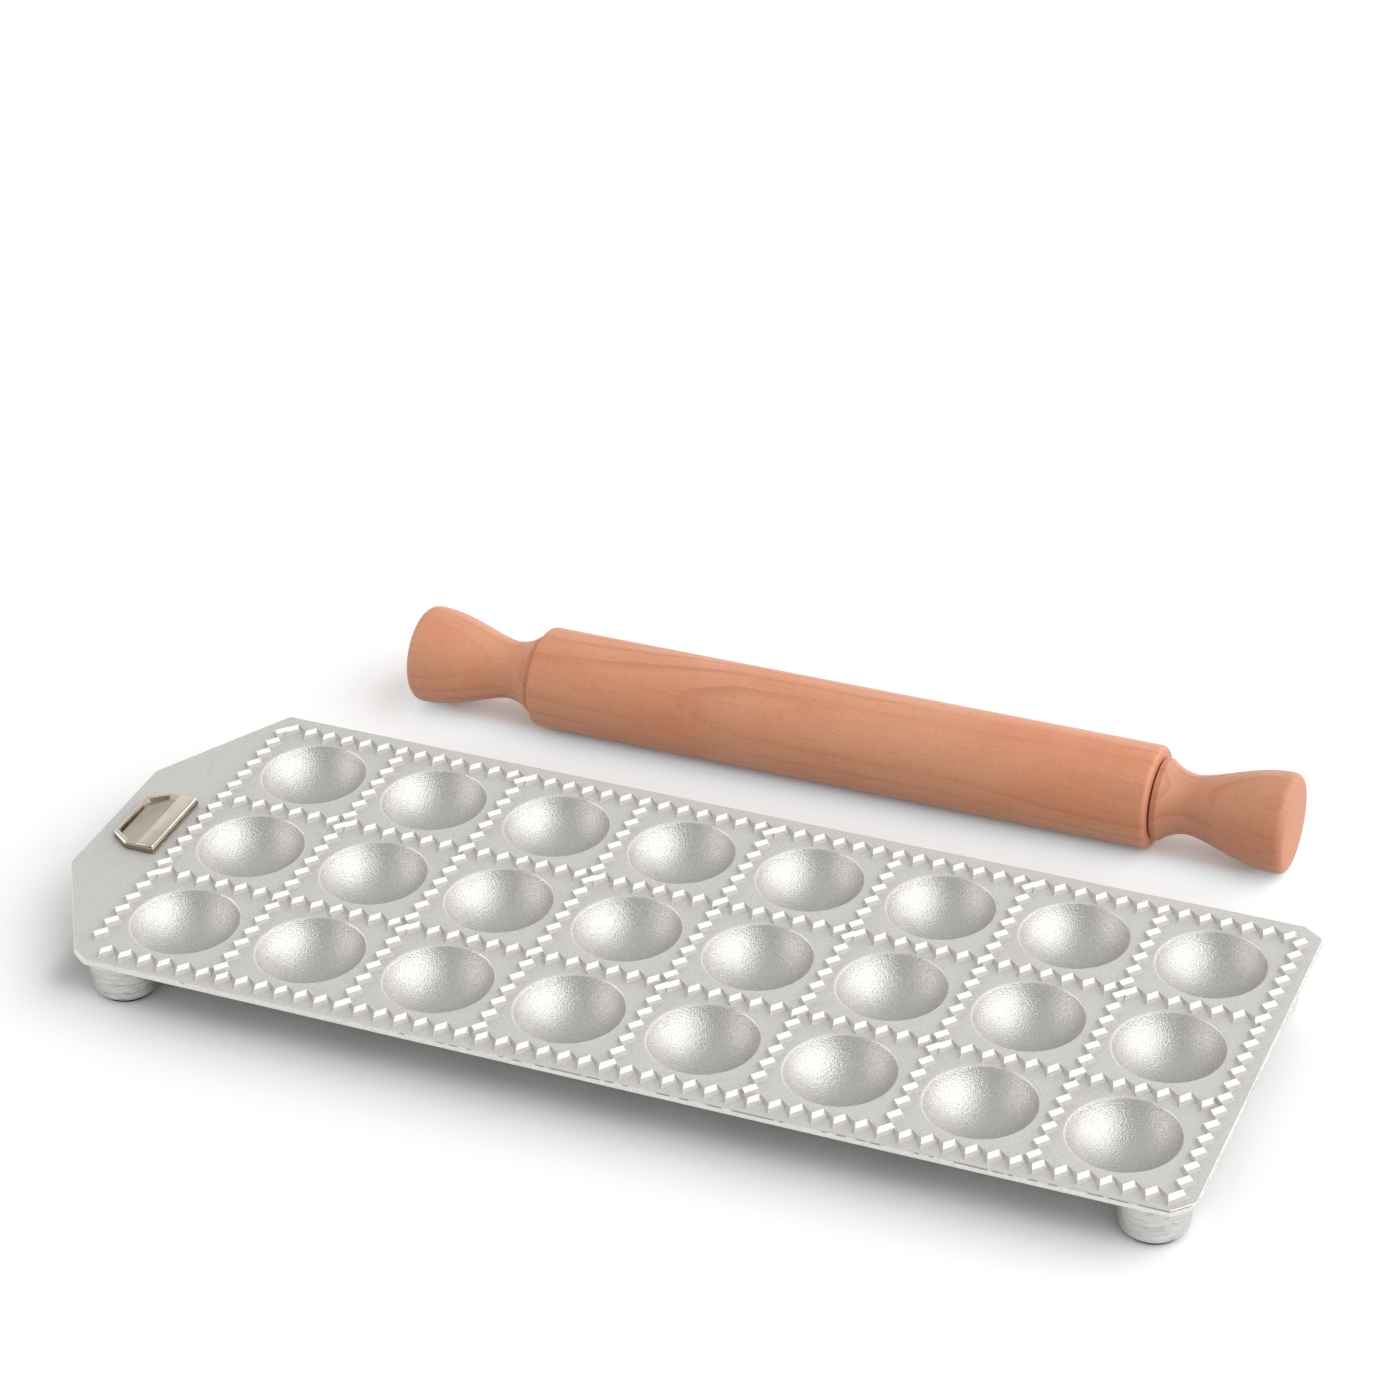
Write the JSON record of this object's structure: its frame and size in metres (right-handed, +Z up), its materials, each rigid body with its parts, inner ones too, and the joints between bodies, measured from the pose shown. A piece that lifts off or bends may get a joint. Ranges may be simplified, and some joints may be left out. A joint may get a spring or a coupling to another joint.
{
  "type": "ravioli_mould",
  "caption": "cast aluminium ravioli mould with rounded pockets framed by zigzag cutting ridges, on rubber footed bosses, with its small wooden rolling pin",
  "frame": {"origin": "middle of the footprint of tray and pin together, on the table", "axes": "+Z up; +X along the tray, away from the badge; +Y from the tray towards the rolling pin"},
  "size_m": [0.3344, 0.1895, 0.0297],
  "materials": {
    "casting": "fine matte cast surface with bright milled tooth tops",
    "badge": "warm satin nickel with bevelled edges",
    "rubber": "matte black",
    "wood": "sanded close-grained beech, unvarnished",
    "steel": "plain drawn rod",
    "nylon": "natural nylon"
  },
  "bodies": {
    "mould": {"mould_casting": "casting", "badge": "badge", "foot_pad_front_left": "rubber", "foot_pad_front_right": "rubber", "foot_pad_back_left": "rubber", "foot_pad_back_right": "rubber"},
    "pin_handles": {"pin_axle": "steel", "pin_handle_left": "wood", "pin_handle_right": "wood"},
    "pin_barrel": {"pin_barrel": "wood", "pin_bush_left": "nylon", "pin_bush_right": "nylon"}
  },
  "joints": [
    {"name": "pin_lift", "type": "slide", "parent": "mould", "child": "pin_handles", "axis": [0, 0, 1], "range_m": [0, 0.15]},
    {"name": "barrel_roll", "type": "hinge", "parent": "pin_handles", "child": "pin_barrel", "pos_m": [0.0101, 0.0798, 0.01487], "axis": [1, 0, 0], "continuous": true}
  ]
}
